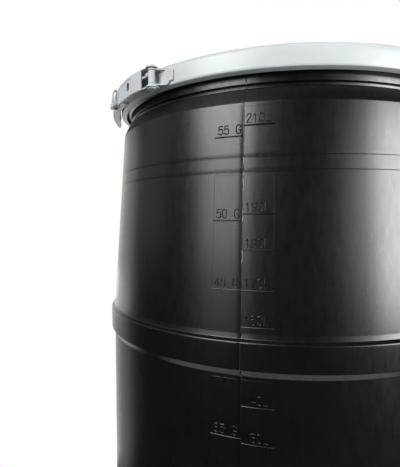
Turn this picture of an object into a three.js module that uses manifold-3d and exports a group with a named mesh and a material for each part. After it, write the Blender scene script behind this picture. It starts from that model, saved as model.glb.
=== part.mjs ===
// Plastic open head drum with a lift-off lid and a steel lever-lock closing ring.
// Millimetres, +Z up. The origin is on the drum's axis, on the floor that the drum stands on.
// The latch is at the front left, where -Y is the front and -X is the left.
import * as THREE from "three";
import { mergeVertices } from "three/addons/utils/BufferGeometryUtils.js";
import Module from "manifold-3d";

const wasm = await Module();
wasm.setup();

// ---- Driving dimensions ----
const HEIGHT = 970; // floor to the top of the closing ring
const HOOP_R = 290; // rolling hoops, outside
const WALL_R = 285; // wall between the two hoops, outside
const SHOULDER_R = 266.5; // wall just under the shoulder, outside
const FOOT_R = 262; // outer edge of the ring that the drum stands on
const WALL = 4.5; // moulded wall
const HOOP_HEIGHT = 46;
const UPPER_HOOP_Z = 595; // lower edge of the upper rolling hoop
const LOWER_HOOP_Z = 296; // lower edge of the lower rolling hoop
const STEP_HEIGHTS = [845, 828]; // the wall steps out by STEP going down past each
const STEP = 0.6;
const SHOULDER_Z = 905;
const NECK_R = 252; // groove under the flange
const FLANGE_R = 255.5; // plain flange under the rim bead
const BEAD_R = 261.3; // rim bead that the ring closes round
const MOUTH_R = 246;
const RIM_Z = 955; // top of the drum's own rim
const LID_R = 261.2;
const LID_TOP = 967.2;
const LID_WALL = 3.5;
const RING_R = 270.8; // closing ring, outside of its web
const RING_T = 1.7; // steel strip
const RING_BEND = 7;
const RING_FOOT = 942.3; // lower corner of the ring's web
const LIP_R = 262; // free edge of the ring's lower leg
const LIP_Z = 939.5;
const RING_TOP_R = 250; // free edge of the ring's upper leg
const SPLIT = 37.1; // azimuth of the gap between the ring's ends, in degrees
const SPLIT_HALF = 0.25;
const REAR_HALF = 0.05;
const SEGMENTS = 64;

const LATCH_Z = 952.5; // mid height of the latch
const SHEET = 2; // latch steel
const LEVER_HALF = 13; // half the height of the lever's channel
const EAR_HALF = 10.6;
const TAIL_TOP = 957;
const PIVOT = { r: 283.5, at: 34.3 }; // lever pivot: radius and azimuth
const BOSS_R = 7.5; // round ends of the lever's flanges at the pivot
const ANCHOR = { r: 277.5, at: 45 };
const LINK_PIVOT = { r: 277.5, at: 52 };
const CATCH_AT = 56;
const CATCH_AXIS = { r: 290.5, z: 939 };
const PIN_R = 3;
const SMALL_PIN_R = 2.5;
const PIN_SIDES = 20;
const PLAY = 0.3; // clearance round pins

const STEEL = { color: 0xc9cdcd, roughness: 0.42, metalness: 0.15 };
const BLACK = { color: 0x141516, roughness: 0.45, metalness: 0 };
const SEAL = { color: 0x2c2c2a, roughness: 0.8, metalness: 0 };

// ---- Shape helpers ----
const rad = THREE.MathUtils.degToRad;

// A point in plan: azimuth 0 is the front (-Y), and it grows towards the left (-X).
function plan(r, azimuth) {
  return new THREE.Vector2(-r * Math.sin(rad(azimuth)), -r * Math.cos(rad(azimuth)));
}

function solid(geometry) {
  const bare = geometry.index ? geometry.toNonIndexed() : geometry.clone();
  bare.deleteAttribute("normal");
  bare.deleteAttribute("uv");
  const merged = mergeVertices(bare, 1e-4);
  const mesh = new wasm.Mesh({
    numProp: 3,
    vertProperties: new Float32Array(merged.attributes.position.array),
    triVerts: new Uint32Array(merged.index.array),
  });
  return new wasm.Manifold(mesh);
}

function geometryOf(manifold) {
  const mesh = manifold.getMesh();
  const geometry = new THREE.BufferGeometry();
  geometry.setAttribute("position", new THREE.BufferAttribute(mesh.vertProperties, 3));
  geometry.setIndex(new THREE.BufferAttribute(mesh.triVerts, 1));
  return geometry;
}

function join(...solids) {
  return solids.reduce((whole, next) => whole.add(next));
}

function cut(whole, ...tools) {
  return tools.reduce((left, tool) => left.subtract(tool), whole);
}

// A closed outline of [radius, height] pairs, turned about the drum's axis.
function turned(outline) {
  const points = outline.map(([r, z]) => new THREE.Vector2(r, z));
  if (THREE.ShapeUtils.area(points) < 0) points.reverse();
  points.push(points[0].clone());
  return new THREE.LatheGeometry(points, SEGMENTS).rotateX(Math.PI / 2);
}

// A flat plate: an outline in plan, from height z0 to z1.
function plate(points, z0, z1) {
  const outline = THREE.ShapeUtils.isClockWise(points) ? [...points].reverse() : points;
  const options = { depth: z1 - z0, bevelEnabled: false };
  const geometry = new THREE.ExtrudeGeometry(new THREE.Shape(outline), options);
  return solid(geometry.translate(0, 0, z0));
}

// Plan points from one azimuth to another; radius is a number or a function of the azimuth.
function arc(from, to, radius, step) {
  const count = Math.max(1, Math.ceil((to - from) / step));
  const azimuths = Array.from({ length: count + 1 }, (_, i) => from + ((to - from) * i) / count);
  return azimuths.map((a) => plan(typeof radius === "function" ? radius(a) : radius, a));
}

// A plan outline that follows the ring between two azimuths.
function band(from, to, inner, outer, step = 3) {
  return [...arc(from, to, outer, step), ...arc(from, to, inner, step).reverse()];
}

// A plan outline from a foot along the ring, between two azimuths, out to a round end about a pin.
function lobe(pin, radius, from, to, footR) {
  const centre = plan(pin.r, pin.at);
  const bearing = Math.atan2(centre.y, centre.x);
  const turns = Array.from({ length: 11 }, (_, i) => rad(20 * i - 100));
  const end = turns.map((turn) => {
    const x = centre.x + radius * Math.cos(bearing - turn);
    return new THREE.Vector2(x, centre.y + radius * Math.sin(bearing - turn));
  });
  return [...arc(from, to, footR, 2), ...end.reverse()];
}

// An upright round bar centred on a plan point.
function post({ r, at }, radius, z0, z1) {
  const centre = plan(r, at);
  const geometry = new THREE.CylinderGeometry(radius, radius, z1 - z0, PIN_SIDES);
  geometry.rotateX(Math.PI / 2).translate(centre.x, centre.y, (z0 + z1) / 2);
  return solid(geometry);
}

// The hole that a pin of the given radius turns in, right through the latch.
function throughHole(pin, radius) {
  return post(pin, radius + PLAY, LATCH_Z - 20, LATCH_Z + 20);
}

// A round bar along the ring's tangent at CATCH_AT, through the catch's hinge axis.
function tangentBar(radius, length, shift = 0) {
  const geometry = new THREE.CylinderGeometry(radius, radius, length, PIN_SIDES);
  geometry.rotateZ(Math.PI / 2).translate(shift, 0, 0);
  return solid(atCatch(geometry));
}

// Places geometry drawn at the catch: x along the tangent to the right, y inwards, z up from its axis.
function atCatch(geometry) {
  const centre = plan(CATCH_AXIS.r, CATCH_AT);
  return geometry.rotateZ(-rad(CATCH_AT)).translate(centre.x, centre.y, CATCH_AXIS.z);
}

// A block given at the catch: across the tangent, from outer to inner y, and between two heights.
function catchBlock(width, y0, y1, z0, z1, shift = 0) {
  const geometry = new THREE.BoxGeometry(width, y1 - y0, z1 - z0);
  geometry.translate(shift, (y0 + y1) / 2, (z0 + z1) / 2);
  return solid(atCatch(geometry));
}

function material(values) {
  return new THREE.MeshStandardMaterial(values);
}

function node(name, shape, values) {
  const geometry = shape.isBufferGeometry ? shape : geometryOf(shape);
  const mesh = new THREE.Mesh(geometry, material(values));
  mesh.name = name;
  return mesh;
}

// ---- Drum ----
// A rolling hoop's outside: a filleted top and a chamfered foot, listed upwards.
function hoopOutline(z, below, above) {
  const top = z + HOOP_HEIGHT;
  return [
    [below, z],
    [HOOP_R, z + 8],
    [HOOP_R, top - 7],
    [HOOP_R - 1.5, top - 4.5],
    [above + 1, top - 2],
    [above, top + 1.5],
  ];
}

// Straight wall taper from the upper hoop to the shoulder.
function upperWall(z) {
  const foot = UPPER_HOOP_Z + HOOP_HEIGHT;
  return THREE.MathUtils.mapLinear(z, foot, SHOULDER_Z, WALL_R - 0.6, SHOULDER_R);
}

function drumShell() {
  const steps = [...STEP_HEIGHTS].reverse().flatMap((z) => [
    [upperWall(z) + STEP / 2, z - 1],
    [upperWall(z) - STEP / 2, z],
  ]);
  const outside = [
    [0, 0],
    [70, 0],
    [76, 5],
    [206, 5],
    [212, 0],
    [FOOT_R, 0],
    [FOOT_R + 9, 2.5],
    [FOOT_R + 15, 9],
    [FOOT_R + 18, 20],
    [WALL_R - 3, 60],
    ...hoopOutline(LOWER_HOOP_Z, WALL_R - 0.6, WALL_R),
    ...hoopOutline(UPPER_HOOP_Z, WALL_R, WALL_R - 0.6),
    ...steps,
    [upperWall(SHOULDER_Z - 5), SHOULDER_Z - 5],
    [SHOULDER_R - 1.2, SHOULDER_Z + 3.5],
    [SHOULDER_R - 3.4, SHOULDER_Z + 8.5],
    [SHOULDER_R - 6, SHOULDER_Z + 16],
    [NECK_R + 2, SHOULDER_Z + 19.5],
    [NECK_R, SHOULDER_Z + 22],
    [NECK_R + 0.5, 929],
    [FLANGE_R, 930.5],
    [FLANGE_R, 941],
    [BEAD_R, 944],
    [BEAD_R, RIM_Z - 3],
    [BEAD_R - 3, RIM_Z],
  ];
  const inside = [
    [MOUTH_R + 1, RIM_Z],
    [MOUTH_R, RIM_Z - 2],
    [MOUTH_R, SHOULDER_Z + 18],
    [SHOULDER_R - 10, SHOULDER_Z + 9],
    [SHOULDER_R - WALL - 1, SHOULDER_Z - 6],
    [WALL_R - WALL - 1, UPPER_HOOP_Z + HOOP_HEIGHT + 6],
    [HOOP_R - WALL - 1, UPPER_HOOP_Z + HOOP_HEIGHT - 10],
    [HOOP_R - WALL - 1, UPPER_HOOP_Z + 10],
    [WALL_R - WALL, UPPER_HOOP_Z - 2],
    [WALL_R - WALL, LOWER_HOOP_Z - 6],
    [WALL_R - WALL - 4, 60],
    [FOOT_R + 9, 20],
    [FOOT_R - 4, 9],
    [208, 6],
    [202, 11],
    [0, 11],
  ];
  return turned([...outside, ...inside]);
}

// ---- Lid and gasket ----
const PLUG_R = MOUTH_R - 2; // the lid's recessed wall, inside the drum's mouth
const PANEL_Z = 944; // underside of the lid's flat panel

function lid() {
  const under = LID_TOP - LID_WALL;
  return turned([
    [0, PANEL_Z],
    [PLUG_R - 3, PANEL_Z],
    [PLUG_R, PANEL_Z + 3],
    [PLUG_R, under],
    [LID_R - 2.6, under],
    [LID_R - 2.6, RIM_Z + 2.5],
    [LID_R, RIM_Z + 2.5],
    [LID_R, LID_TOP - 2.5],
    [LID_R - 2.5, LID_TOP],
    [PLUG_R - 1, LID_TOP],
    [PLUG_R - LID_WALL, LID_TOP - 3],
    [PLUG_R - LID_WALL - 2, PANEL_Z + 7],
    [PLUG_R - 10, PANEL_Z + LID_WALL],
    [186, PANEL_Z + LID_WALL],
    [182, PANEL_Z + 8],
    [170, PANEL_Z + 8],
    [166, PANEL_Z + LID_WALL],
    [0, PANEL_Z + LID_WALL],
  ]);
}

function gasket() {
  const top = LID_TOP - LID_WALL - PLAY;
  return turned([
    [MOUTH_R + 3, RIM_Z + PLAY],
    [LID_R - 6, RIM_Z + PLAY],
    [LID_R - 4, RIM_Z + 3],
    [LID_R - 4, top],
    [MOUTH_R + 1, top],
    [MOUTH_R + 1, RIM_Z + 3],
  ]);
}

// ---- Closing ring ----
function ringSection() {
  const bend = [0, 30, 60, 90].map((turn) => [
    RING_R - RING_BEND + RING_BEND * Math.cos(rad(turn)),
    HEIGHT - RING_BEND + RING_BEND * Math.sin(rad(turn)),
  ]);
  return [
    [LIP_R, LIP_Z],
    [RING_R - 1, RING_FOOT - 0.6],
    [RING_R, RING_FOOT + 0.8],
    ...bend,
    [RING_TOP_R, HEIGHT],
    [RING_TOP_R, HEIGHT - RING_T],
    [RING_R - RING_BEND, HEIGHT - RING_T],
    [RING_R - RING_T, HEIGHT - RING_BEND],
    [RING_R - RING_T, RING_FOOT + RING_T],
    [LIP_R, LIP_Z + RING_T],
  ];
}

function ringHalf(from, to) {
  const centre = new THREE.Vector2(0, 0);
  const sector = [centre, ...arc(from, to, HOOP_R + 20, 20)];
  return solid(turned(ringSection())).intersect(plate(sector, LIP_Z - 10, HEIGHT + 10));
}

// ---- Hinge bracket, welded to the ring's right end ----
const FIX_R = RING_R + PLAY; // latch plates stand this far from the axis
const EAR_R = 4.8;

// The lower and the upper of two flat plates, each with one face at the given distance from mid height.
function pair(outline, half) {
  const low = plate(outline, LATCH_Z - half, LATCH_Z - half + SHEET);
  return [low, plate(outline, LATCH_Z + half - SHEET, LATCH_Z + half)];
}

function hingeBracket() {
  const base = plate(band(28.6, 37.2, FIX_R, FIX_R + SHEET), LATCH_Z - EAR_HALF, LATCH_Z + EAR_HALF);
  const corner = band(28, 30, FIX_R - 1, FIX_R + SHEET + 1);
  const notches = [plate(corner, LATCH_Z - 12, LATCH_Z - 6.3), plate(corner, LATCH_Z + 6.3, LATCH_Z + 12)];
  const arms = pair(lobe(PIVOT, EAR_R, 30.8, 37.2, FIX_R), EAR_HALF);
  return cut(join(base, ...arms), ...notches, throughHole(PIVOT, PIN_R));
}

function pivotPin() {
  const grip = LEVER_HALF + PLAY;
  const shank = post(PIVOT, PIN_R, LATCH_Z - grip - 1, LATCH_Z + grip + 1);
  const heads = [-1, 1].map((side) => {
    const z = LATCH_Z + side * (grip + 1);
    return join(post(PIVOT, 5.5, z - 1, z + 1), post(PIVOT, 3.8, z - 1.8, z + 1.8));
  });
  const inner = LATCH_Z - grip;
  const keep = plate(band(30, 38, 270, 300, 2), inner, inner + 2 * grip);
  return join(shank, ...heads.map((head) => head.subtract(keep)));
}

function pivotSleeve() {
  const half = EAR_HALF - SHEET - PLAY;
  return cut(post(PIVOT, 4.4, LATCH_Z - half, LATCH_Z + half), throughHole(PIVOT, PIN_R));
}

// ---- Lever ----
const NOSE_FROM = 33.4; // azimuths
const WEB_FROM = 38;
const TAIL_FROM = 60;
const TAIL_END = 88;
const NOSE_INSIDE = 274; // the noses' inner corners clear the ring as the lever turns

// The lever's outside and inside radius against azimuth: proud at the pivot, close over the ring,
// flared at the tip.
const LEVER_OUTSIDE = [
  [34, 288],
  [43, 288],
  [52, 285],
  [66, 284.5],
  [76, 285],
  [82, 286.7],
  [TAIL_END, 292.5],
];
const LEVER_INSIDE = [
  [34, 273.6],
  [76, 274],
  [82, 279],
  [TAIL_END, 288],
];

// Reads a radius off such a table.
function radiusAt(path, azimuth) {
  const end = path.findIndex(([at]) => at >= azimuth);
  if (end <= 0) return path[0][1];
  const [a0, r0] = path[end - 1];
  const [a1, r1] = path[end];
  return THREE.MathUtils.mapLinear(azimuth, a0, a1, r0, r1);
}

// A channel open towards the drum: a web and two flanges, which may start before the web does.
function channel(from, webFrom, to, low, high) {
  const outside = (azimuth) => radiusAt(LEVER_OUTSIDE, azimuth);
  const inside = (azimuth) => radiusAt(LEVER_INSIDE, azimuth);
  const web = band(webFrom, to, (azimuth) => outside(azimuth) - SHEET, outside);
  const flange = band(from, to, inside, outside);
  return join(
    plate(web, low, high),
    plate(flange, high - SHEET, high),
    plate(flange, low, low + SHEET),
  );
}

function lever() {
  const low = LATCH_Z - LEVER_HALF;
  const grip = channel(PIVOT.at, WEB_FROM, TAIL_FROM + 1, low, LATCH_Z + LEVER_HALF);
  const tail = channel(TAIL_FROM, TAIL_FROM, TAIL_END, low, TAIL_TOP);
  const noses = pair(lobe(PIVOT, BOSS_R, NOSE_FROM, WEB_FROM + 1, NOSE_INSIDE), LEVER_HALF);
  const lugs = [-5.5, 5.5].map((shift) => catchBlock(2, -3.2, 8, -3.2, 5, shift));
  const slot = plate(band(45, 46.3, 270, 300), LATCH_Z - 4, LATCH_Z + 6);
  const catchHole = tangentBar(1.5 + PLAY, 20);
  const body = join(grip, tail, ...noses, ...lugs);
  return cut(body, slot, throughHole(PIVOT, PIN_R), throughHole(LINK_PIVOT, SMALL_PIN_R), catchHole);
}

function rivet(pin, radius, grip) {
  const head = (z) => post(pin, radius + 1.6, z - 0.8, z + 0.8);
  const shank = post(pin, radius, LATCH_Z - grip - 1, LATCH_Z + grip + 1);
  return join(shank, head(LATCH_Z + grip + 1.1), head(LATCH_Z - grip - 1.1));
}

// ---- Draw link and anchor ----
function drawLink() {
  const half = EAR_HALF - SHEET - PLAY - 0.5;
  const arm = band(46.5, LINK_PIVOT.at, LINK_PIVOT.r - 2.5, LINK_PIVOT.r + 2.5);
  const eye = post(LINK_PIVOT, 4.3, LATCH_Z - half, LATCH_Z + half);
  const hook = band(43.7, 46.6, ANCHOR.r - 3.4, ANCHOR.r + 4.4, 1);
  const plates = [arm, hook].map((outline) => plate(outline, LATCH_Z - half, LATCH_Z + half));
  const body = join(eye, ...plates);
  const mouth = band(44.4, 45.6, ANCHOR.r - 5, ANCHOR.r, 1);
  return cut(
    body,
    throughHole(LINK_PIVOT, SMALL_PIN_R),
    post(ANCHOR, SMALL_PIN_R + 0.5, LATCH_Z - 20, LATCH_Z + 20),
    plate(mouth, LATCH_Z - 20, LATCH_Z + 20),
  );
}

function anchorBracket() {
  const base = plate(band(43.4, 51, FIX_R, FIX_R + SHEET), LATCH_Z - EAR_HALF, LATCH_Z + EAR_HALF);
  const arms = pair(lobe(ANCHOR, 4.4, 43.6, 47.5, FIX_R), EAR_HALF);
  return cut(join(base, ...arms), throughHole(ANCHOR, SMALL_PIN_R));
}

// ---- Safety catch ----
function safetyCatch() {
  const top = 24;
  const strip = catchBlock(7, -1.4, 0, 1, top);
  const curl = catchBlock(7, -1.4, 3, top - 1.5, top);
  const eye = tangentBar(3.6, 8.4);
  return cut(join(eye, strip, curl), tangentBar(1.5 + PLAY, 20));
}

function catchPin() {
  const shank = tangentBar(1.5, 15);
  const heads = [-7.5, 7.5].map((shift) => tangentBar(3.2, 1.4, shift));
  return join(shank, ...heads);
}

// ---- Assembly ----
const root = new THREE.Group();
const rightFrom = SPLIT - 180 + REAR_HALF;
const rightTo = SPLIT - SPLIT_HALF;
const leftFrom = SPLIT + SPLIT_HALF;
const leftTo = SPLIT + 180 - REAR_HALF;
root.add(
  node("drum_shell", drumShell(), BLACK),
  node("lid", lid(), BLACK),
  node("lid_gasket", gasket(), SEAL),
  node("ring_band_right", ringHalf(rightFrom, rightTo), STEEL),
  node("ring_band_left", ringHalf(leftFrom, leftTo), STEEL),
  node("hinge_bracket", hingeBracket(), STEEL),
  node("pivot_pin", pivotPin(), STEEL),
  node("pivot_sleeve", pivotSleeve(), STEEL),
  node("lever", lever(), STEEL),
  node("draw_link", drawLink(), STEEL),
  node("link_pin", rivet(LINK_PIVOT, SMALL_PIN_R, LEVER_HALF), STEEL),
  node("anchor_bracket", anchorBracket(), STEEL),
  node("anchor_pin", post(ANCHOR, SMALL_PIN_R, LATCH_Z - EAR_HALF, LATCH_Z + EAR_HALF), STEEL),
  node("safety_catch", safetyCatch(), STEEL),
  node("catch_pin", catchPin(), STEEL),
);

export default root;
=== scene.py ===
"""Looks for the plastic open head drum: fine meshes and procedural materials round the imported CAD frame."""

import math
import random

import bmesh
import bpy
import numpy as np
from mathutils import Matrix, Vector


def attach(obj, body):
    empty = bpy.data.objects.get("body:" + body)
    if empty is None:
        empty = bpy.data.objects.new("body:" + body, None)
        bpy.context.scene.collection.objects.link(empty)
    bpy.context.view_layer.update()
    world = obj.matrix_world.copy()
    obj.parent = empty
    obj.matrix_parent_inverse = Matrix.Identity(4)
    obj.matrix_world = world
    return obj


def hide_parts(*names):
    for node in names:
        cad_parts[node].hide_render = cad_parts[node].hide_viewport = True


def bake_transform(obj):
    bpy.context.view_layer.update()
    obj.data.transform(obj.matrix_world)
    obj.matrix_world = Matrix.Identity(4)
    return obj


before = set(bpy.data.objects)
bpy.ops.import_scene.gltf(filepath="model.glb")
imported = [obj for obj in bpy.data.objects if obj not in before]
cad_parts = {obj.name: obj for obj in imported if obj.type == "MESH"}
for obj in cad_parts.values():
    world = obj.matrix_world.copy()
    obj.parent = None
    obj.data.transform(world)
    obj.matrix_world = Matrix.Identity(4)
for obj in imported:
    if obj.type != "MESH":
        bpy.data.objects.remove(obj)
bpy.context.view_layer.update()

MM = 0.001

# ---- Sizes, in millimetres and degrees, most of them as in the CAD model ----
HEIGHT = 970.0
HOOP_R = 290.0
WALL_R = 285.0
SHOULDER_R = 266.5
SHOULDER_Z = 905.0
FOOT_R = 262.0
WALL = 4.5
HOOP_HEIGHT = 46.0
UPPER_HOOP_Z = 595.0
LOWER_HOOP_Z = 296.0
STEP_HEIGHTS = (845.0, 828.0)
STEP = 0.6
NECK_R = 252.0
FLANGE_R = 255.5
BEAD_R = 261.3
MOUTH_R = 246.0
RIM_Z = 955.0
LID_R = 261.2
LID_TOP = 967.2
LID_WALL = 3.5
PANEL_Z = 944.0
RING_R = 270.8
RING_T = 1.7
RING_SHOULDER = 10.5
RING_FOOT = 942.3
LIP_R = 262.0
LIP_Z = 939.5
RING_TOP_R = 250.0
SPLIT = 37.1
SPLIT_HALF = 0.25
LATCH_Z = 952.5
SHEET = 2.0
LEVER_SHEET = 1.6
LEVER_HALF = 13.0
EAR_HALF = 10.6
PIVOT = (283.5, 34.3)
BOSS_R = 7.5
NOSE_SPAN = (33.4, 38.2)
NOSE_FOOT_R = 274.0
NOSE_ARM_R = 288.0
CATCH_AT = 56.0
CATCH_AXIS = (290.5, 939.0)
PIN_R = 3.0
FIX_R = RING_R + 0.3
SEAM_AT = 8.8


# ---- Mesh helpers ----
WELD_DISTANCE = 1e-6  # metres
BAR_SIDES = 32


def polar(r, azimuth, z):
    """A point in metres. Azimuth 0 is the front (-Y), and it grows towards the left (-X)."""
    a = math.radians(azimuth)
    return (-r * math.sin(a) * MM, -r * math.cos(a) * MM, z * MM)


def new_object(name, verts, faces, sharp=40.0):
    mesh = bpy.data.meshes.new(name)
    mesh.from_pydata([tuple(v) for v in verts], [], faces)
    mesh.validate()
    obj = bpy.data.objects.new(name, mesh)
    bpy.context.scene.collection.objects.link(obj)
    outward(obj)
    mesh.shade_smooth()
    mesh.set_sharp_from_angle(angle=math.radians(sharp))
    return obj


def outward(obj):
    """Turns all faces of closed shells outwards."""
    bm = bmesh.new()
    bm.from_mesh(obj.data)
    bmesh.ops.recalc_face_normals(bm, faces=bm.faces)
    bm.to_mesh(obj.data)
    bm.free()


def filleted(corners, steps=5):
    """An outline of (r, z, fillet radius) corners with the corners rounded off by arcs."""
    points = []
    last = len(corners) - 1
    for i, (r, z, radius) in enumerate(corners):
        here = Vector((r, z))
        if radius <= 0 or i in (0, last):
            points.append((r, z))
            continue
        back = Vector(corners[i - 1][:2]) - here
        ahead = Vector(corners[i + 1][:2]) - here
        turn = math.pi - back.angle(ahead)
        if turn < 0.02:
            points.append((r, z))
            continue
        reach = min(radius * math.tan(turn / 2), 0.49 * back.length, 0.49 * ahead.length)
        a = here + back.normalized() * reach
        b = here + ahead.normalized() * reach
        for k in range(steps + 1):
            t = k / steps
            p = (1 - t) ** 2 * a + 2 * t * (1 - t) * here + t * t * b
            points.append((p.x, p.y))
    return points


def split_long(outline, longest, guard=1.5):
    """Adds points along the long straight stretches, and one near each end to keep corner shading local."""
    points = [outline[0]]
    for a, b in zip(outline, outline[1:]):
        length = math.dist(a, b)
        count = max(1, math.ceil(length / longest))
        parts = {k / count for k in range(1, count + 1)}
        if length > 4 * guard:
            parts |= {guard / length, 1 - guard / length}
        points += [(a[0] + (b[0] - a[0]) * t, a[1] + (b[1] - a[1]) * t) for t in sorted(parts)]
    return points


def revolve(name, outline, azimuths, closed_outline=False, sharp=40.0, swell=None):
    """Turns an outline about the drum's axis. swell(azimuth) gives each point's extra radius."""
    full = abs(abs(azimuths[-1] - azimuths[0]) - 360.0) < 1e-6
    columns = azimuths[:-1] if full else azimuths
    verts = []
    for a in columns:
        extra = swell(a) if swell else [0.0] * len(outline)
        verts += [polar(r + more, a, z) for (r, z), more in zip(outline, extra)]
    n = len(outline)
    rows = range(n) if closed_outline else range(n - 1)
    faces = []
    count = len(columns)
    for c in range(count if full else count - 1):
        d = (c + 1) % count
        for k in rows:
            j = (k + 1) % n
            faces.append((c * n + k, d * n + k, d * n + j, c * n + j))
    if not full and closed_outline:
        faces.append(tuple(range(n)))
        faces.append(tuple((count - 1) * n + k for k in range(n)))
    obj = new_object(name, verts, faces, sharp)
    weld(obj)
    return obj


def weld(obj):
    """Merges the points that coincide, and drops the faces that this leaves without area."""
    bm = bmesh.new()
    bm.from_mesh(obj.data)
    bmesh.ops.remove_doubles(bm, verts=bm.verts, dist=WELD_DISTANCE)
    bmesh.ops.dissolve_degenerate(bm, edges=bm.edges, dist=WELD_DISTANCE)
    bmesh.ops.recalc_face_normals(bm, faces=bm.faces)
    bm.to_mesh(obj.data)
    bm.free()


def block_band(name, a0, a1, inner, outer, z0, z1, step=0.5):
    """A curved block along the ring between two azimuths. Its four sizes may be functions of the azimuth."""
    count = max(1, math.ceil(abs(a1 - a0) / step))
    verts = []
    for i in range(count + 1):
        a = a0 + (a1 - a0) * i / count
        ri, ro, low, high = [value(a) if callable(value) else value for value in (inner, outer, z0, z1)]
        verts += [polar(ri, a, low), polar(ro, a, low), polar(ro, a, high), polar(ri, a, high)]
    faces = [(0, 1, 2, 3), tuple(4 * count + k for k in range(4))]
    for i in range(count):
        for k in range(4):
            j = (k + 1) % 4
            faces.append((4 * i + k, 4 * i + 4 + k, 4 * i + 4 + j, 4 * i + j))
    return new_object(name, verts, faces)


def bar(name, centre, direction, radius, length, dome=0.0, edge=0.25):
    """A round bar with softened or domed ends, centred on a point in metres."""
    half = length / 2
    profile = [(0.0, -half), (radius - edge, -half), (radius, -half + edge)]
    profile += [(radius, half - edge), (radius - edge, half), (0.0, half)]
    if dome > 0:
        arc = [(radius * math.cos(t), half + dome * math.sin(t)) for t in np.linspace(0, math.pi / 2, 7)]
        profile = [(r, -h) for r, h in reversed(arc)] + arc
    verts = []
    for r, h in profile:
        for k in range(BAR_SIDES):
            t = 2 * math.pi * k / BAR_SIDES
            verts.append(Vector((r * math.cos(t), r * math.sin(t), h)) * MM)
    faces = []
    for i in range(len(profile) - 1):
        for k in range(BAR_SIDES):
            j = (k + 1) % BAR_SIDES
            low, high = i * BAR_SIDES, (i + 1) * BAR_SIDES
            faces.append((low + k, low + j, high + j, high + k))
    spin = Vector((0, 0, 1)).rotation_difference(Vector(direction)).to_matrix()
    verts = [spin @ v + Vector(centre) for v in verts]
    obj = new_object(name, verts, faces)
    weld(obj)
    return obj


def bevelled(obj, width, segments, angle=30.0):
    mod = obj.modifiers.new("soft_edges", "BEVEL")
    mod.width = width * MM
    mod.segments = segments
    mod.limit_method = "ANGLE"
    mod.angle_limit = math.radians(angle)
    return obj


def applied(obj):
    """Bakes an object's modifiers into its mesh."""
    graph = bpy.context.evaluated_depsgraph_get()
    mesh = bpy.data.meshes.new_from_object(obj.evaluated_get(graph))
    obj.modifiers.clear()
    obj.data = mesh


def joined(name, parts):
    """One object made of several, in the drum's frame."""
    for part in parts:
        applied(part)
    with bpy.context.temp_override(
        active_object=parts[0], selected_editable_objects=parts, object=parts[0], selected_objects=parts
    ):
        bpy.ops.object.join()
    parts[0].name = name
    parts[0].data.name = name
    return parts[0]


def dress(obj, material, body, slot, *nodes):
    """Gives a piece its one material and body, and hides the CAD nodes that it stands for. The slot argument
    is not used.
    """
    obj.data.materials.clear()
    obj.data.materials.append(material)
    for polygon in obj.data.polygons:
        polygon.material_index = 0
    if body:
        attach(obj, body)
    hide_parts(*nodes)


# ---- Material helpers ----
NOISE_ROUGHNESS = 0.55


class Nodes:
    """Short way to build a material's node tree."""

    def __init__(self, name):
        self.material = bpy.data.materials.new(name)
        self.material.use_nodes = True
        self.tree = self.material.node_tree
        self.shader = self.tree.nodes["Principled BSDF"]
        coordinates = self.tree.nodes.new("ShaderNodeTexCoord")
        self.place = coordinates.outputs["Object"]

    def add(self, kind, inputs=(), **settings):
        made = self.tree.nodes.new(kind)
        for key, value in settings.items():
            setattr(made, key, value)
        for key, value in dict(inputs).items():
            if isinstance(value, bpy.types.NodeSocket):
                self.tree.links.new(value, made.inputs[key])
            else:
                made.inputs[key].default_value = value
        return made

    def noise(self, scale, stretch=(1, 1, 1), detail=3.0, distortion=0.0):
        mapping = self.add("ShaderNodeMapping", {"Vector": self.place, "Scale": stretch})
        inputs = {"Vector": mapping.outputs[0], "Scale": scale, "Detail": detail}
        inputs.update({"Roughness": NOISE_ROUGHNESS, "Distortion": distortion})
        return self.add("ShaderNodeTexNoise", inputs).outputs["Fac"]

    def spread(self, value, low, high, out_low, out_high):
        inputs = {"Value": value, "From Min": low, "From Max": high, "To Min": out_low, "To Max": out_high}
        return self.add("ShaderNodeMapRange", inputs).outputs[0]

    def tint(self, value, stops):
        """A colour that runs from the first (position, colour) stop to the second."""
        ramp = self.add("ShaderNodeValToRGB", {"Fac": value})
        for element, (position, colour) in zip(ramp.color_ramp.elements, stops):
            element.position = position
            element.color = (*colour, 1)
        return ramp.outputs["Color"]

    def bump(self, heights):
        """Stacks (height, distance in mm, strength) bumps and sends them to the shader."""
        normal = None
        for height, distance, strength in heights:
            inputs = {"Height": height, "Distance": distance * MM, "Strength": strength}
            if normal is not None:
                inputs["Normal"] = normal
            normal = self.add("ShaderNodeBump", inputs).outputs[0]
        self.tree.links.new(normal, self.shader.inputs["Normal"])

    def wire(self, **sockets):
        for key, value in sockets.items():
            name = key.replace("_", " ").title()
            if isinstance(value, bpy.types.NodeSocket):
                self.tree.links.new(value, self.shader.inputs[name])
            else:
                self.shader.inputs[name].default_value = value
        return self.material


# Sockets of an RGBA Mix node, whose names repeat for its other data types.
MIX_FACTOR = 0
MIX_COLOUR_A = 6
MIX_COLOUR_B = 7
MIX_COLOUR_OUT = 2
SCUFF_COLOUR = (0.42, 0.43, 0.42, 1)


def black_plastic(name, base=0.0028, rough=0.29):
    n = Nodes(name)
    blotch = n.noise(14, detail=4)
    peel = n.noise(520, detail=3)
    drawn = n.noise(300, stretch=(1, 1, 0.3), detail=3)
    uneven = n.noise(55, stretch=(1, 1, 0.5), detail=2)
    darker = (base, base, base * 1.05)
    lighter = (base * 1.35, base * 1.33, base * 1.35)
    colour = n.tint(blotch, [(0.3, darker), (0.7, lighter)])
    roughness = n.spread(n.noise(160, stretch=(1, 1, 0.3)), 0.25, 0.75, rough - 0.03, rough + 0.04)
    n.bump([(uneven, 0.1, 0.15), (drawn, 0.05, 0.3), (peel, 0.1, 0.6)])
    return n.wire(base_color=colour, roughness=roughness)


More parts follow.
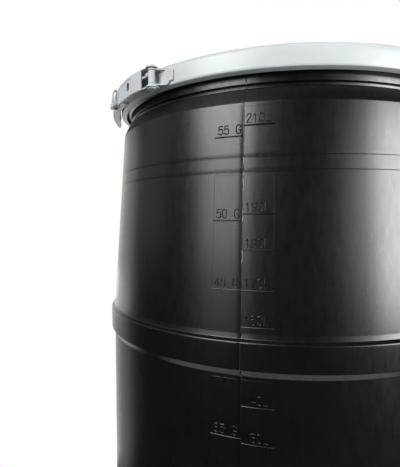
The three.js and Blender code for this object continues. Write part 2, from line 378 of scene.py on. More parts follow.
def grey_paint(name, base=(0.49, 0.525, 0.53), rough=0.36, wear=0.5):
    n = Nodes(name)
    cloud = n.noise(35, detail=4)
    specks = n.noise(520, detail=2)
    scuff = n.noise(110, stretch=(1, 1, 6), detail=5, distortion=0.4)
    darker = tuple(c * 0.93 for c in base)
    colour = n.tint(cloud, [(0.3, darker), (0.7, base)])
    marks = n.spread(scuff, 0.66, 0.74, 0.0, wear * 0.35)
    mix = {MIX_FACTOR: marks, MIX_COLOUR_A: colour, MIX_COLOUR_B: SCUFF_COLOUR}
    worn = n.add("ShaderNodeMix", mix, data_type="RGBA")
    roughness = n.spread(specks, 0.3, 0.7, rough - 0.04, rough + 0.06)
    n.bump([(n.noise(260, detail=2), 0.05, 0.3), (specks, 0.02, 0.3)])
    return n.wire(base_color=worn.outputs[MIX_COLOUR_OUT], roughness=roughness)


def foam_rubber(name):
    n = Nodes(name)
    cells = n.noise(700, detail=2)
    colour = n.tint(cells, [(0.35, (0.02, 0.02, 0.019)), (0.7, (0.035, 0.035, 0.033))])
    n.bump([(cells, 0.15, 0.6)])
    return n.wire(base_color=colour, roughness=0.85)


def floor_surface():
    n = Nodes("floor_matte")
    colour = n.tint(n.noise(6, detail=3), [(0.3, (0.80, 0.80, 0.79)), (0.7, (0.84, 0.84, 0.83))])
    n.bump([(n.noise(300, detail=2), 0.1, 0.2)])
    return n.wire(base_color=colour, roughness=0.7)


# ---- Camera and light ----
FOCAL_PX = 421.9
LONG_SIDE_PX = 467.0
SENSOR = 36.0
CAMERA_D = 0.7539
CAMERA_Z = 0.7722
CAMERA_YAW = 10.73
CAMERA_PITCH = -1.89
CAMERA_ROLL = 0.32
FLOOR_R = 0.6
FLOOR_SIDES = 96
FLOOR_DROP = 0.0005
LIGHT_DISTANCE = 2.2
LIGHT_AIM = (0, 0, 0.75)
AMBIENT = 0.01
WHITE = (1, 1, 1)
WARM = (1, 0.98, 0.95)
LIGHTS = [  # name, azimuth, elevation, width, height, watts, colour
    ("left_key", 34, 33, 1.25, 1.0, 41, WHITE),
    ("left_mid", 33, 12, 1.0, 0.75, 12, WHITE),
    ("left_low", 33, -5, 0.9, 0.5, 1.1, WHITE),
    ("right_low", -67, 7, 1.1, 1.2, 68, WHITE),
    ("right_soft", -44, 8, 0.6, 1.0, 4, WHITE),
    ("back_left_low", 148, 2, 1.2, 1.1, 6, WARM),
    ("left_rim", 120, 2, 1.1, 1.3, 4.4, WARM),
    ("back_left_floor", 148, -22, 1.2, 1.2, 4.5, WARM),
    ("left_rim_floor", 120, -22, 1.1, 1.2, 2.4, WARM),
    ("back_top", 172, 54, 1.8, 1.0, 20, WHITE),
    ("left_side_fill", 85, 20, 1.0, 1.6, 2.0, WHITE),
]


def make_camera():
    data = bpy.data.cameras.new("camera")
    data.sensor_width = SENSOR
    data.lens = FOCAL_PX / LONG_SIDE_PX * SENSOR
    data.clip_start = 0.01
    camera = bpy.data.objects.new("camera", data)
    bpy.context.scene.collection.objects.link(camera)
    yaw = Matrix.Rotation(math.radians(CAMERA_YAW), 3, "Z")
    pitch = Matrix.Rotation(math.radians(CAMERA_PITCH), 3, "X")
    roll = Matrix.Rotation(math.radians(CAMERA_ROLL), 3, "Y")
    look = yaw @ pitch @ roll
    right, ahead, up = look.col[0], look.col[1], look.col[2]
    turn = Matrix((right, up, -ahead)).transposed().to_4x4()
    camera.matrix_world = Matrix.Translation((0, -CAMERA_D, CAMERA_Z)) @ turn
    bpy.context.scene.camera = camera


def softbox(name, azimuth, elevation, width, height, power, colour):
    """A rectangular studio light that faces a point on the drum."""
    data = bpy.data.lights.new(name, "AREA")
    data.shape = "RECTANGLE"
    data.size = width
    data.size_y = height
    data.energy = power
    data.color = colour
    light = bpy.data.objects.new(name, data)
    bpy.context.scene.collection.objects.link(light)
    a, e = math.radians(azimuth), math.radians(elevation)
    away = Vector((-math.sin(a) * math.cos(e), -math.cos(a) * math.cos(e), math.sin(e)))
    light.location = Vector(LIGHT_AIM) + away * LIGHT_DISTANCE
    light.rotation_euler = away.to_track_quat("Z", "Y").to_euler()


def make_world():
    world = bpy.data.worlds.new("studio")
    bpy.context.scene.world = world
    world.use_nodes = True
    tree = world.node_tree
    tree.nodes.clear()
    out = tree.nodes.new("ShaderNodeOutputWorld")
    seen = tree.nodes.new("ShaderNodeBackground")
    seen.inputs["Color"].default_value = (1, 1, 1, 1)
    seen.inputs["Strength"].default_value = 1.0
    ambient = tree.nodes.new("ShaderNodeBackground")
    ambient.inputs["Color"].default_value = (1, 0.99, 0.97, 1)
    ambient.inputs["Strength"].default_value = AMBIENT
    path = tree.nodes.new("ShaderNodeLightPath")
    mix = tree.nodes.new("ShaderNodeMixShader")
    tree.links.new(path.outputs["Is Camera Ray"], mix.inputs["Fac"])
    tree.links.new(ambient.outputs[0], mix.inputs[1])
    tree.links.new(seen.outputs[0], mix.inputs[2])
    tree.links.new(mix.outputs[0], out.inputs["Surface"])


def make_stage():
    """A pale round floor under the drum, and the soft lights."""
    turns = [2 * math.pi * k / FLOOR_SIDES for k in range(FLOOR_SIDES)]
    ring = [(FLOOR_R * math.cos(t), FLOOR_R * math.sin(t), -FLOOR_DROP) for t in turns]
    floor = new_object("floor", ring, [tuple(range(FLOOR_SIDES))])
    if floor.data.polygons[0].normal.z < 0:
        floor.data.flip_normals()
    floor.data.materials.append(floor_surface())
    for row in LIGHTS:
        softbox(*row)


# ---- Drum shell ----
VALLEY = 0.5  # depth in mm
VALLEY_LEFT = 1.3  # widths in degrees
VALLEY_RIGHT = 3.5


def sink(azimuth):
    """How far the wall sinks either side of the seam, where the halves of the mould didn't quite agree."""
    beyond = (azimuth - SEAM_AT + 180.0) % 360.0 - 180.0
    share = abs(beyond) / (VALLEY_LEFT if beyond >= 0 else VALLEY_RIGHT)
    return -VALLEY * (1 - share) ** 2 if share < 1 else 0.0


def sink_fade(z):
    """Where the sink applies: on the wall above the foot and below the shoulder."""
    return max(0.0, min(1.0, (z - 60) / 60, (SHOULDER_Z + 4 - z) / 14))


def upper_wall(z):
    """The wall's outside radius between the upper hoop and the shoulder, without the steps."""
    foot = UPPER_HOOP_Z + HOOP_HEIGHT
    t = (z - foot) / (SHOULDER_Z - foot)
    return WALL_R - 0.6 + t * (SHOULDER_R - WALL_R + 0.6)


def wall_radius(z, azimuth):
    """The outside radius of the plain wall, on which marks stand."""
    plain = upper_wall(z) if z >= UPPER_HOOP_Z + HOOP_HEIGHT else WALL_R
    return plain + sink(azimuth) * sink_fade(z)


def hoop_corners(z, below, above):
    top = z + HOOP_HEIGHT
    return [
        (below, z, 1.0),
        (HOOP_R - 0.2, z + 8, 1.6),
        (HOOP_R, top - 6.5, 2.4),
        (HOOP_R - 4.6, top - 3.4, 1.6),
        (above, top + 2.5, 3.5),
    ]


def step_corners(z):
    return [
        (upper_wall(z - 2.0), z - 2.0, 0),
        (upper_wall(z) + STEP / 2, z - 0.8, 0.35),
        (upper_wall(z) - STEP / 2, z, 0.35),
        (upper_wall(z + 2.0), z + 2.0, 0),
    ]


def drum_outside():
    corners = [(0, 0, 0), (70, 0, 0.8), (76, 5, 3), (206, 5, 3), (212, 0, 0.8)]
    corners += [(FOOT_R - 2, 0, 4), (FOOT_R + 9, 2.5, 8), (FOOT_R + 17, 14, 10), (WALL_R - 3, 60, 30)]
    corners += hoop_corners(LOWER_HOOP_Z, WALL_R - 0.6, WALL_R)
    corners += hoop_corners(UPPER_HOOP_Z, WALL_R, WALL_R - 0.6)
    for z in reversed(STEP_HEIGHTS):
        corners += step_corners(z)
    corners += [
        (upper_wall(SHOULDER_Z + 1), SHOULDER_Z + 1, 3.0),
        (SHOULDER_R - 3.4, SHOULDER_Z + 8.5, 4.0),
        (SHOULDER_R - 8, SHOULDER_Z + 18.5, 2.0),
        (NECK_R, SHOULDER_Z + 20.5, 1.2),
        (NECK_R + 0.5, 929, 1.0),
        (FLANGE_R, 930.5, 0.7),
        (FLANGE_R, 941, 0.8),
        (BEAD_R, 944, 1.0),
        (BEAD_R, RIM_Z, 2.6),
        (MOUTH_R, RIM_Z, 1.5),
    ]
    return filleted(corners)


def drum_inside():
    corners = [
        (MOUTH_R, RIM_Z, 1.5),
        (MOUTH_R, SHOULDER_Z + 18, 4),
        (SHOULDER_R - 10, SHOULDER_Z + 9, 6),
        (SHOULDER_R - WALL - 1, SHOULDER_Z - 6, 6),
        (WALL_R - WALL - 1, UPPER_HOOP_Z + HOOP_HEIGHT + 6, 5),
        (HOOP_R - WALL - 1, UPPER_HOOP_Z + HOOP_HEIGHT - 10, 5),
        (HOOP_R - WALL - 1, UPPER_HOOP_Z + 10, 5),
        (WALL_R - WALL, UPPER_HOOP_Z - 2, 5),
        (WALL_R - WALL, LOWER_HOOP_Z + HOOP_HEIGHT + 6, 5),
        (HOOP_R - WALL - 1, LOWER_HOOP_Z + HOOP_HEIGHT - 10, 5),
        (HOOP_R - WALL - 1, LOWER_HOOP_Z + 10, 5),
        (WALL_R - WALL - 1, LOWER_HOOP_Z - 6, 5),
        (WALL_R - WALL - 4, 60, 20),
        (FOOT_R + 9, 20, 8),
        (FOOT_R - 4, 9, 6),
        (208, 6, 2),
        (202, 11, 3),
        (0, 11, 0),
    ]
    return filleted(corners)


def make_shell():
    outside = split_long(drum_outside(), 25)
    inside = split_long(drum_inside(), 25, guard=100)
    outline = outside + inside[1:]
    fades = [sink_fade(z) for r, z in outside] + [0.0] * (len(inside) - 1)
    near = [SEAM_AT - VALLEY_RIGHT * k / 12 for k in range(12, 0, -1)] + [SEAM_AT - 0.02]
    past = [SEAM_AT + VALLEY_LEFT * k / 8 for k in range(9)]
    azimuths = near + past + list(np.linspace(SEAM_AT + 2.5, SEAM_AT + 360 - VALLEY_RIGHT, 185))

    def swell(azimuth):
        return [sink(azimuth) * fade for fade in fades]

    return revolve("drum_shell_fine", outline, azimuths, sharp=50, swell=swell)


RIDGE_HALF = 1.05
RIDGE_HEIGHT = 0.75
RIDGE_ROOT = -0.9
RIDGE_CREST = 0.15  # the flat top's share of the width
RIDGE_VARIES = 0.15
RIDGE_WANDERS = 0.09
RIDGE_MEMORY = 0.85


def seam_ridge(azimuth, seed):
    """The raised line that the two halves of the mould leave on the wall."""
    rng = random.Random(seed)
    outline = [p for p in split_long(drum_outside(), 6) if p[1] > 3 and p[0] > FLANGE_R - 12]
    outline = [p for p in outline if p[1] < 941.5]
    verts, faces = [], []
    wander = 0.0
    for k, (r, z) in enumerate(outline):
        before, after = outline[max(0, k - 1)], outline[min(len(outline) - 1, k + 1)]
        along = Vector((after[0] - before[0], after[1] - before[1])).normalized()
        out = Vector((along.y, -along.x))
        wander = RIDGE_MEMORY * wander + rng.uniform(-RIDGE_WANDERS, RIDGE_WANDERS)
        half = RIDGE_HALF + rng.uniform(-RIDGE_VARIES, RIDGE_VARIES)
        high = RIDGE_HEIGHT + rng.uniform(-RIDGE_VARIES, RIDGE_VARIES)
        crest = half * RIDGE_CREST
        for side, lift in ((-half, RIDGE_ROOT), (-crest, high), (crest, high), (half, RIDGE_ROOT)):
            p = Vector((r, z)) + out * lift
            verts.append(polar(p.x, azimuth - math.degrees((side + wander) / r), p.y))
    for k in range(len(outline) - 1):
        for j in range(4):
            i = (j + 1) % 4
            faces.append((4 * k + j, 4 * k + i, 4 * k + 4 + i, 4 * k + 4 + j))
    faces += [(0, 1, 2, 3), tuple(4 * (len(outline) - 1) + j for j in range(4))]
    return new_object("seam_ridge", verts, faces, sharp=60)


def raised_patch(a_left, a_right, z_low, z_high, lift):
    """A thin raised panel with sloped edges, such as a mould insert leaves."""
    edge = 0.5
    sides = max(2, math.ceil(abs(a_left - a_right) / 0.5))
    rows = max(2, math.ceil((z_high - z_low) / 12))
    tall = z_high - z_low
    zs = [z_low] + [z_low + edge + (tall - 2 * edge) * k / rows for k in range(rows + 1)] + [z_high]
    edge_a = math.degrees(edge / WALL_R)
    span = a_left - a_right
    az = [a_left] + [a_left - edge_a - (span - 2 * edge_a) * k / sides for k in range(sides + 1)] + [a_right]
    verts, faces = [], []
    for i, z in enumerate(zs):
        for j, a in enumerate(az):
            border = i in (0, len(zs) - 1) or j in (0, len(az) - 1)
            verts.append(polar(wall_radius(z, a) + (-0.05 if border else lift), a, z))
    n = len(az)
    for i in range(len(zs) - 1):
        for j in range(n - 1):
            faces.append((i * n + j, i * n + j + 1, (i + 1) * n + j + 1, (i + 1) * n + j))
    base = len(verts)
    ring = list(range(n)) + [i * n + n - 1 for i in range(1, len(zs))]
    ring += [(len(zs) - 1) * n + j for j in range(n - 2, -1, -1)] + [i * n for i in range(len(zs) - 2, 0, -1)]
    for v in ring:
        x, y, z = verts[v]
        shrink = 1 - 1.2 * MM / math.hypot(x, y)
        verts.append((x * shrink, y * shrink, z))
    count = len(ring)
    for k in range(count):
        j = (k + 1) % count
        faces.append((ring[k], ring[j], base + j, base + k))
    faces.append(tuple(base + k for k in range(count)))
    return new_object("raised_patch", verts, faces, sharp=12)


def stroke(points, azimuth, z, width, height):
    """A raised ridge on the wall; points are (right, up) in mm from azimuth and z."""
    path = [Vector(p) for p in points]
    section = ((-0.5, -0.4), (-0.2, 0.77), (0, 0.95), (0.2, 0.77), (0.5, -0.4))
    verts, faces = [], []
    last = len(path) - 1
    for k, p in enumerate(path):
        along = (path[min(last, k + 1)] - path[max(0, k - 1)]).normalized()
        across = Vector((-along.y, along.x))
        for s, lift in section:
            q = p + across * (s * width)
            if k in (0, last):
                q += along * (0.35 * width if k == last else -0.35 * width) * (1 - abs(s))
            a = azimuth - math.degrees(q.x / wall_radius(z + q.y, azimuth))
            rise = lift * height if lift > 0 else lift
            verts.append(polar(wall_radius(z + q.y, a) + rise, a, z + q.y))
    n = len(section)
    for k in range(last):
        for j in range(n):
            i = (j + 1) % n
            faces.append((n * k + j, n * k + i, n * k + n + i, n * k + n + j))
    faces += [tuple(range(n)), tuple(n * last + j for j in range(n))]
    return new_object("stroke", verts, faces, sharp=30)


CUTTING_ROUNDS = 2


def smoothed(points, closed):
    """Chaikin corner cutting of a drawn line."""
    for _ in range(CUTTING_ROUNDS):
        pairs = list(zip(points, points[1:])) + ([(points[-1], points[0])] if closed else [])
        cut = []
        for a, b in pairs:
            cut.append((0.75 * a[0] + 0.25 * b[0], 0.75 * a[1] + 0.25 * b[1]))
            cut.append((0.25 * a[0] + 0.75 * b[0], 0.25 * a[1] + 0.75 * b[1]))
        points = cut if closed else [points[0]] + cut[1:-1] + [points[-1]]
    return points + [points[0]] if closed else points


GLYPHS = {  # (points, round, closed) strokes on a grid 4 wide and 7 tall
    "0": [([(1, 0), (3, 0), (4, 1.4), (4, 5.6), (3, 7), (1, 7), (0, 5.6), (0, 1.4)], True, True)],
    "1": [([(0.8, 5.7), (2.1, 7), (2.1, 0)], False, False)],
    "2": [
        ([(0.1, 5.4), (0.5, 7), (3.6, 7.1), (4.1, 4.6), (1.6, 2.4), (0, 0)], True, False),
        ([(0, 0), (4, 0)], False, False),
    ],
    "3": [
        ([(0.1, 6.2), (1.2, 7.1), (3.9, 7), (4, 3.9), (1.6, 3.8)], True, False),
        ([(1.6, 3.8), (4.2, 3.8), (4.2, 0), (1.2, -0.1), (0, 0.9)], True, False),
    ],
    "4": [([(3.1, 0), (3.1, 7), (0, 2), (4.2, 2)], False, False)],
    "5": [
        ([(3.8, 7), (0.6, 7), (0.4, 3.9)], False, False),
        ([(0.4, 3.9), (2, 4.9), (4.2, 4.2), (4.2, 0.3), (1.8, -0.2), (0, 1)], True, False),
    ],
    "6": [
        ([(3.7, 6.3), (2.8, 7.1), (0.5, 7), (0, 4.5), (0, 2)], True, False),
        ([(1, 0), (3.2, 0), (4.1, 1.2), (4.1, 3), (3.2, 4.2), (1, 4.2), (0, 3), (0, 1.2)], True, True),
    ],
    "7": [([(0, 7), (4, 7), (1.4, 0)], False, False)],
    "8": [
        ([(1, 3.8), (3, 3.8), (3.8, 4.8), (3.8, 6), (3, 7), (1, 7), (0.2, 6), (0.2, 4.8)], True, True),
        (
            [(1, 0), (3.1, 0), (4.1, 1), (4.1, 2.8), (3.1, 3.8), (0.9, 3.8), (-0.1, 2.8), (-0.1, 1)],
            True,
            True,
        ),
    ],
    "9": [
        ([(1, 2.9), (3.1, 2.9), (4, 4), (4, 5.8), (3.1, 7), (1, 7), (0, 5.8), (0, 4)], True, True),
        ([(4, 5), (4, 2.4), (3.4, -0.1), (1.2, -0.1), (0.3, 0.8)], True, False),
    ],
    "G": [
        (
            [(4, 5.6), (3.2, 7.1), (0.6, 7.1), (-0.1, 4.5), (-0.1, 2.5), (0.6, -0.1), (3.3, -0.1)]
            + [(4, 1.2), (4, 3)],
            True,
            False,
        ),
        ([(4, 3), (2.3, 3)], False, False),
    ],
    "L": [([(0, 7), (0, 0), (3.6, 0)], False, False)],
}
GLYPH_ROWS = 7
TEXT_SIZE = 9.6
TEXT_PITCH = 7.4
TEXT_NARROWING = 0.92
TEXT_WIDTH = 1.75
TEXT_RISE = 1.0
LINE_WIDTH = 2.0
LINE_RISE = 1.15
TEXT_INDENT = 0.75  # degrees, as are the gap at the seam and the edges of the marks
SEAM_GAP = 0.15
GALLON_EDGE = 16.1
LITRE_EDGE = 1.3
TEXT_GAP = 3.4
GALLON_LIFT = 0.2
LITRE_LIFT = 0.14
LOWER_LIFT = 0.08
GALLONS = {"55 G": 868.0, "50 G": 770.8, "45 G": 692.0, "35 G": 522.8, "30 G": 440.0}
LITRES = {
    "210L": 879.8, "190L": 778.2, "180L": 737.0, "170L": 691.8, "160L": 650.6, "140L": 560.6,
    "130L": 517.6, "120L": 474.6, "110L": 431.6, "100L": 388.6,
}


def mark_text(text, azimuth, z):
    """Raised characters that start at an azimuth and stand on a height."""
    unit = TEXT_SIZE / GLYPH_ROWS
    parts = []
    for i, character in enumerate(text):
        for points, is_round, closed in GLYPHS.get(character, []):
            line = smoothed(points, closed) if is_round else points
            line = [(i * TEXT_PITCH + x * unit * TEXT_NARROWING, y * unit) for x, y in line]
            parts.append(stroke(line, azimuth, z, TEXT_WIDTH, TEXT_RISE))
    return parts


def mark_line(a_left, a_right, z):
    length = math.radians(a_left - a_right) * wall_radius(z, a_left)
    count = max(2, math.ceil(length / 3))
    points = [(length * k / count, 0) for k in range(count + 1)]
    return stroke(points, a_left, z, LINE_WIDTH, LINE_RISE)


def make_marks():
    """Graduation lines, numbers and the mould insert panels, either side of the front seam."""
    parts = []
    for text, z in GALLONS.items():
        parts.append(mark_line(GALLON_EDGE, SEAM_AT + SEAM_GAP, z))
        parts += mark_text(text, GALLON_EDGE - TEXT_INDENT, z + TEXT_GAP)
    for text, z in LITRES.items():
        parts.append(mark_line(SEAM_AT - SEAM_GAP, LITRE_EDGE, z))
        parts += mark_text(text, SEAM_AT - TEXT_INDENT, z + TEXT_GAP)
    low, high = UPPER_HOOP_Z + HOOP_HEIGHT + 3.5, STEP_HEIGHTS[1] - 4.5
    parts.append(raised_patch(GALLON_EDGE, SEAM_AT, low, high, GALLON_LIFT))
    parts.append(raised_patch(SEAM_AT, LITRE_EDGE, low, high, LITRE_LIFT))
    parts.append(raised_patch(SEAM_AT, LITRE_EDGE, 880.4, SHOULDER_Z - 3, LITRE_LIFT))
    low, high = LOWER_HOOP_Z + HOOP_HEIGHT + 4, UPPER_HOOP_Z - 4
    parts.append(raised_patch(GALLON_EDGE, SEAM_AT, low, high, LOWER_LIFT))
    parts.append(raised_patch(SEAM_AT, LITRE_EDGE, low, high, LOWER_LIFT))
    return parts


def make_drum(plastic):
    parts = [make_shell(), seam_ridge(SEAM_AT, seed=3), seam_ridge(SEAM_AT + 180, seed=8)]
    parts += make_marks()
    dress(joined("drum_body", parts), plastic, "drum", "shell_plastic", "drum_shell")


# ---- Lid and gasket ----
LID_STEPS = (186, 116)
LID_STEP_RISE = 4.3
RIB_COUNT = 12
RIB_HALF = 0.55  # degrees
RIB_SPAN = (190, 234)
GATE_R = 6


def make_lid(plastic, rubber):
    plug = MOUTH_R - 2
    under = LID_TOP - LID_WALL
    floor_z = PANEL_Z + LID_WALL
    corners = [
        (0, PANEL_Z, 0), (plug - 1, PANEL_Z, 3), (plug, PANEL_Z + 6, 1), (plug, under, 1),
        (LID_R - 2.6, under, 1), (LID_R - 2.6, RIM_Z + 2.5, 0.5), (LID_R, RIM_Z + 2.5, 0.8),
        (LID_R, LID_TOP, 2.5), (plug - LID_WALL + 1.5, LID_TOP, 2.5), (plug - LID_WALL - 2, floor_z, 4),
    ]
    for outer in LID_STEPS:
        corners += [(outer, floor_z, 2), (outer - 4, floor_z + LID_STEP_RISE, 2)]
        corners += [(outer - 14, floor_z + LID_STEP_RISE, 2), (outer - 18, floor_z, 2)]
    corners.append((0, floor_z, 0))
    lid = revolve("lid_cover", split_long(filleted(corners), 12), list(np.linspace(0, 360, 241)))
    ribs = []
    for k in range(RIB_COUNT):
        a = (k + 0.5) * 360 / RIB_COUNT
        rib = block_band("rib", a - RIB_HALF, a + RIB_HALF, *RIB_SPAN, floor_z - 0.5, floor_z + 2.2)
        ribs.append(bevelled(rib, 0.6, 3))
    gate = bevelled(bar("gate", (0, 0, (floor_z + 0.4) * MM), (0, 0, 1), GATE_R, 1.6), 0.3, 2)
    lid = joined("lid_cover", [lid, gate] + ribs)
    dress(lid, plastic, "lid", "lid_plastic", "lid")
    top = under - 0.3
    corners = [
        (MOUTH_R + 3, RIM_Z + 0.3, 1), (LID_R - 6, RIM_Z + 0.3, 1), (LID_R - 4, RIM_Z + 3, 1),
        (LID_R - 4, top, 1), (MOUTH_R + 1, top, 1), (MOUTH_R + 1, RIM_Z + 3, 1),
    ]
    seal = revolve("gasket_ring", filleted(corners), list(np.linspace(0, 360, 181)), closed_outline=True)
    dress(seal, rubber, "lid", "gasket_rubber", "lid_gasket")


def ring_outline():
    """The strip's closed section: upper leg, web and lower leg, with a small curl on the lower edge."""
    t = RING_T
    corners = [
        (LIP_R + 0.3, LIP_Z + 0.3, 0),
        (LIP_R + 1.5, LIP_Z - 0.1, 0.5),
        (RING_R - 0.6, RING_FOOT - 0.6, 1.6),
        (RING_R, RING_FOOT + 1.5, 1.2),
        (RING_R, HEIGHT, RING_SHOULDER),
        (RING_TOP_R, HEIGHT, 0.7),
        (RING_TOP_R, HEIGHT - t, 0.7),
        (RING_R - t, HEIGHT - t, RING_SHOULDER - t),
        (RING_R - t, RING_FOOT + t, 1.0),
        (LIP_R, LIP_Z + t, 0.5),
    ]
    return filleted(corners, 6)


def make_ring(paint):
    start, stop = SPLIT + SPLIT_HALF, SPLIT + 360 - SPLIT_HALF
    azimuths = list(np.linspace(start, stop, 358))
    ring = revolve("closing_ring", ring_outline(), azimuths, closed_outline=True, sharp=35)
    dress(ring, paint, None, "ring_steel", "ring_band_right", "ring_band_left")
    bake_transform(ring)


# ---- Latch ----
RECESS = (43.2, 52.0)  # azimuths
RECESS_DEPTHS = ((44.0, 51.8), (1.5, 0.8))
SLOT_AT = 45.7
SLOT_HALF_WIDTH = 4.2
SLOT_HALF_HEIGHT = 6.0
LUG_OFFSET = 5.5
LUG_BLOCK = (282, 293.5, 936, 944)
LOBE_TURN = 105  # degrees from the outward direction to a lobe's end
LEVER_TABLE = [  # azimuth, outside radius, inside radius, lower edge, upper edge
    (34.0, 288.0, 273.6, -13.0, 13.0),
    (43.0, 288.0, 273.6, -13.0, 13.0),
    (52.0, 285.0, 273.7, -13.0, 12.4),
    (60.0, 284.6, 273.8, -13.0, 8.0),
    (66.0, 284.5, 273.9, -13.0, 5.0),
    (76.0, 285.0, 274.0, -12.8, 3.5),
    (82.0, 286.7, 278.5, -12.6, 1.0),
    (86.0, 290.0, 284.5, -12.0, -2.0),
    (87.9, 292.4, 289.0, -10.5, -5.0),
]


def lever_sizes(azimuth):
    """Outside and inside radius, and lower and upper height, of the lever at an azimuth."""
    at = [row[0] for row in LEVER_TABLE]
    return [float(np.interp(azimuth, at, [row[k] for row in LEVER_TABLE])) for k in (1, 2, 3, 4)]


def window(x, low, high, edge):
    """1 between low and high, 0 outside, with straight slopes of the given width inside the limits."""
    return max(0.0, min(1.0, (x - low) / edge, (high - x) / edge))


def lever_contour(azimuth):
    """(r, z) points across the lever's sheet, from the lower flange's free edge to the upper one's."""
    outside, inside, low, high = lever_sizes(azimuth)
    bend = 1.6
    flange = [(inside + (outside - bend - inside) * k / 5, 0.0) for k in range(6)]
    turns = np.linspace(0.26, 1.57, 6)
    corner = [(outside - bend + bend * math.sin(t), bend - bend * math.cos(t)) for t in turns]
    depth = float(np.interp(azimuth, *RECESS_DEPTHS)) * window(azimuth, *RECESS, 0.3)
    web = []
    for v in np.linspace(low + bend, high - bend, 45):
        web.append((outside - depth * window(v, low + 3.4, high - 2.8, 1.1), v))
    lower = [(r, low + v) for r, v in flange + corner[:-1]]
    upper = [(r, high - v) for r, v in reversed(flange + corner[:-1])]
    return [(r, LATCH_Z + v) for r, v in lower + web + upper]


def lever_channel():
    azimuths = list(np.arange(37.6, 87.91, 0.15))
    rows = [lever_contour(a) for a in azimuths]
    n = len(rows[0])
    verts = [polar(r, a, z) for a, row in zip(azimuths, rows) for r, z in row]
    faces = []
    for i in range(len(rows) - 1):
        for j in range(n - 1):
            faces.append((i * n + j, i * n + j + 1, i * n + n + j + 1, i * n + n + j))
    mesh = bpy.data.meshes.new("lever_channel")
    mesh.from_pydata(verts, [], faces)
    obj = bpy.data.objects.new("lever_channel", mesh)
    bpy.context.scene.collection.objects.link(obj)
    outward(obj)
    web = max(obj.data.polygons, key=lambda face: math.hypot(*face.center[:2]))
    if web.normal.dot(Vector((web.center.x, web.center.y, 0))) < 0:
        obj.data.flip_normals()
    sheet = obj.modifiers.new("sheet", "SOLIDIFY")
    sheet.thickness = LEVER_SHEET * MM
    sheet.offset = -1
    slot = slot_cutter(SLOT_AT, LATCH_Z + 1.0, SLOT_HALF_WIDTH, SLOT_HALF_HEIGHT)
    hole = obj.modifiers.new("slot", "BOOLEAN")
    hole.object = slot
    hole.solver = "EXACT"
    applied(obj)
    bpy.data.objects.remove(slot)
    obj.data.shade_smooth()
    obj.data.set_sharp_from_angle(angle=math.radians(50))
    return obj


def slot_cutter(azimuth, z, half_width, half_height):
    """A round-ended prism along the radius, which cuts the slot through the web."""
    outline = []
    for t in np.linspace(0, 2 * math.pi, 40, endpoint=False):
        rise = (half_height - half_width) * (1 if math.sin(t) >= 0 else -1)
        outline.append((half_width * math.cos(t), half_width * math.sin(t) + rise))
    verts = [polar(r, azimuth - math.degrees(u / 285), z + v) for r in (278, 296) for u, v in outline]
    n = len(outline)
    faces = [tuple(range(n)), tuple(range(2 * n - 1, n - 1, -1))]
    faces += [(k, (k + 1) % n, n + (k + 1) % n, n + k) for k in range(n)]
    return new_object("slot_cutter", verts, faces)


def lobe_plate(name, pin, radius, a_from, a_to, foot_r, z0, z1, arm_r=None):
    """A flat plate from a foot along the ring to a round end about a pin, perhaps with an arm at its left."""
    r_pin, a_pin = pin
    x, y, _ = polar(r_pin, a_pin, 0)
    bearing = math.atan2(y, x)
    points = [polar(foot_r, a, 0)[:2] for a in np.linspace(a_from, a_to, 9)]
    first = LOBE_TURN
    if arm_r:
        first = math.degrees(math.acos((arm_r - r_pin) / radius))
        meets = a_pin + math.degrees(radius * math.sin(math.radians(first)) / arm_r)
        points += [polar(arm_r, a, 0)[:2] for a in np.linspace(a_to, meets, 7)[:-1]]
    for turn in np.radians(np.linspace(first, -LOBE_TURN, 29)):
        angle = bearing - turn
        points.append((x + radius * MM * math.cos(angle), y + radius * MM * math.sin(angle)))
    n = len(points)
    verts = [(px, py, z * MM) for z in (z0, z1) for px, py in points]
    faces = [tuple(range(n)), tuple(range(2 * n - 1, n - 1, -1))]
    faces += [(k, (k + 1) % n, n + (k + 1) % n, n + k) for k in range(n)]
    return bevelled(new_object(name, verts, faces, 40), 0.3, 2, 40)


def plate_pair(name, pin, radius, a_from, a_to, foot_r, half, thick, arm_r=None):
    """The lower and the upper of two such plates, with their outer faces at half from mid height."""
    heights = ((LATCH_Z - half, LATCH_Z - half + thick), (LATCH_Z + half - thick, LATCH_Z + half))
    return [lobe_plate(name, pin, radius, a_from, a_to, foot_r, z0, z1, arm_r) for z0, z1 in heights]


def make_lever(paint):
    parts = [lever_channel()]
    parts += plate_pair("nose", PIVOT, BOSS_R, *NOSE_SPAN, NOSE_FOOT_R, LEVER_HALF, LEVER_SHEET, NOSE_ARM_R)
    for offset in (-LUG_OFFSET, LUG_OFFSET):
        a = CATCH_AT - math.degrees(offset / CATCH_AXIS[0])
        half = math.degrees(1 / CATCH_AXIS[0])
        parts.append(bevelled(block_band("lug", a - half, a + half, *LUG_BLOCK), 0.9, 3))
    lever = joined("lever_handle", parts)
    dress(lever, paint, "lever", "latch_steel", "lever")


def bracket_low(azimuth):
    """The lower edge of the hinge bracket's plate, which is cut away at its right corners."""
    return LATCH_Z - float(np.interp(azimuth, (29.8, 30.7), (6.3, EAR_HALF)))


def bracket_high(azimuth):
    return 2 * LATCH_Z - bracket_low(azimuth)


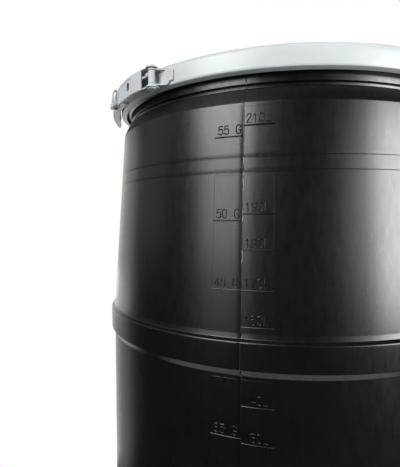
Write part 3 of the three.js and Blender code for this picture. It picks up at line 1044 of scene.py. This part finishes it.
def make_bracket(paint, pin_paint):
    base = block_band("base", 28.6, 36.8, FIX_R, FIX_R + SHEET, bracket_low, bracket_high, 0.3)
    parts = [bevelled(base, 0.4, 2, 50)]
    parts += plate_pair("ear", PIVOT, 4.8, 30.8, 36.9, FIX_R, EAR_HALF, SHEET)
    spot = Vector(polar(FIX_R + SHEET - 0.1, 30.9, LATCH_Z + 1))
    parts.append(bar("weld", spot, (spot.x, spot.y, 0), 2.2, 0.5, dome=0.3))
    bracket = joined("hinge_bracket_plate", parts)
    dress(bracket, paint, "ring", "latch_steel", "hinge_bracket")
    x, y, _ = polar(*PIVOT, 0)
    parts = [bar("shank", (x, y, LATCH_Z * MM), (0, 0, 1), PIN_R, 28)]
    for side in (-1, 1):
        z = (LATCH_Z + side * (LEVER_HALF + 0.7)) * MM
        parts.append(bar("head", (x, y, z), (0, 0, side), 5.3, 1.0, dome=1.4))
    pin = joined("pivot_rivet", parts)
    dress(pin, pin_paint, "ring", "pin_steel", "pivot_pin")
    sleeve = bar("sleeve", (x, y, LATCH_Z * MM), (0, 0, 1), 4.3, 16.4, edge=0.5)
    at = PIVOT[1]
    tab = block_band("tab", at + 0.6, at + 1.9, 284.6, 286.2, LATCH_Z + 2.5, LATCH_Z + 6.5, 0.3)
    sleeve = joined("pivot_barrel", [sleeve, bevelled(tab, 0.4, 2)])
    dress(sleeve, pin_paint, "ring", "pin_steel", "pivot_sleeve")


def make_catch(paint, pin_paint):
    """The thin safety strip: an eye on the pin, an upright and a curl over at the top."""
    r0, z0 = CATCH_AXIS
    line = [(r0 + 2.9 * math.sin(t), z0 - 2.9 * math.cos(t)) for t in np.linspace(-3.6, 1.5, 19)]
    line += [(r0 + 2.2, z0 + 3), (r0 + 0.9, z0 + 6), (r0 + 0.5, z0 + 12), (r0 - 0.4, z0 + 18)]
    curl = np.linspace(0, 2.7, 9)
    line += [(r0 - 0.8 - 2.3 * (1 - math.cos(t)), z0 + 20.8 + 2.3 * math.sin(t)) for t in curl]
    line = split_long(line, 1.2)
    half = math.degrees(3.5 / r0)
    verts = [polar(r, CATCH_AT + side * half, z) for r, z in line for side in (1, -1)]
    faces = [(2 * k, 2 * k + 1, 2 * k + 3, 2 * k + 2) for k in range(len(line) - 1)]
    strip = new_object("safety_strip", verts, faces, 60)
    sheet = strip.modifiers.new("sheet", "SOLIDIFY")
    sheet.thickness = 1.2 * MM
    sheet.offset = 0
    bevelled(strip, 0.25, 2, 40)
    applied(strip)
    strip.data.shade_smooth()
    dress(strip, paint, "safety_catch", "latch_steel", "safety_catch")
    a = math.radians(CATCH_AT)
    along = Vector((math.cos(a), -math.sin(a), 0))
    centre = Vector(polar(r0, CATCH_AT, z0))
    parts = [bar("shank", centre, along, 1.5, 15)]
    for side in (-1, 1):
        parts.append(bar("head", centre + along * side * 7.3 * MM, along * side, 3.1, 0.7, dome=1.2))
    dress(joined("catch_rivet", parts), pin_paint, "lever", "pin_steel", "catch_pin")


def dress_cad_nodes(painted_shade_steel, pin_paint):
    """The small parts inside the lever keep their CAD shape and get their finish here. The draw link, anchor
    bracket and anchor pin get near-black steel, painted shade standing for the deep shadow inside the lever
    channel.
    """
    finishes = {
        "draw_link": painted_shade_steel,
        "anchor_bracket": painted_shade_steel,
        "anchor_pin": painted_shade_steel,
        "link_pin": pin_paint,
    }
    for name, material in finishes.items():
        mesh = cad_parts[name].data
        mesh.materials.clear()
        mesh.materials.append(material)


def main():
    make_camera()
    make_world()
    make_stage()
    shell_plastic = black_plastic("shell_polyethylene")
    lid_plastic = black_plastic("lid_polyethylene", base=0.007, rough=0.36)
    ring_paint = grey_paint("ring_grey_coat")
    latch_paint = grey_paint("latch_grey_coat", base=(0.47, 0.50, 0.515), wear=0.9)
    pin_paint = grey_paint("pin_grey_coat", base=(0.45, 0.48, 0.49), wear=1.2)
    make_drum(shell_plastic)
    make_lid(lid_plastic, foam_rubber("gasket_foam"))
    make_ring(ring_paint)
    make_lever(latch_paint)
    make_bracket(latch_paint, pin_paint)
    make_catch(latch_paint, pin_paint)
    # Near-black steel: painted shade for the deep shadow inside the lever channel, put on the small parts
    # there.
    painted_shade_steel = grey_paint("near_black_painted_shade", base=(0.05, 0.05, 0.052), rough=0.45, wear=0.6)
    dress_cad_nodes(painted_shade_steel, pin_paint)
    bpy.context.scene.view_settings.view_transform = "Standard"


main()
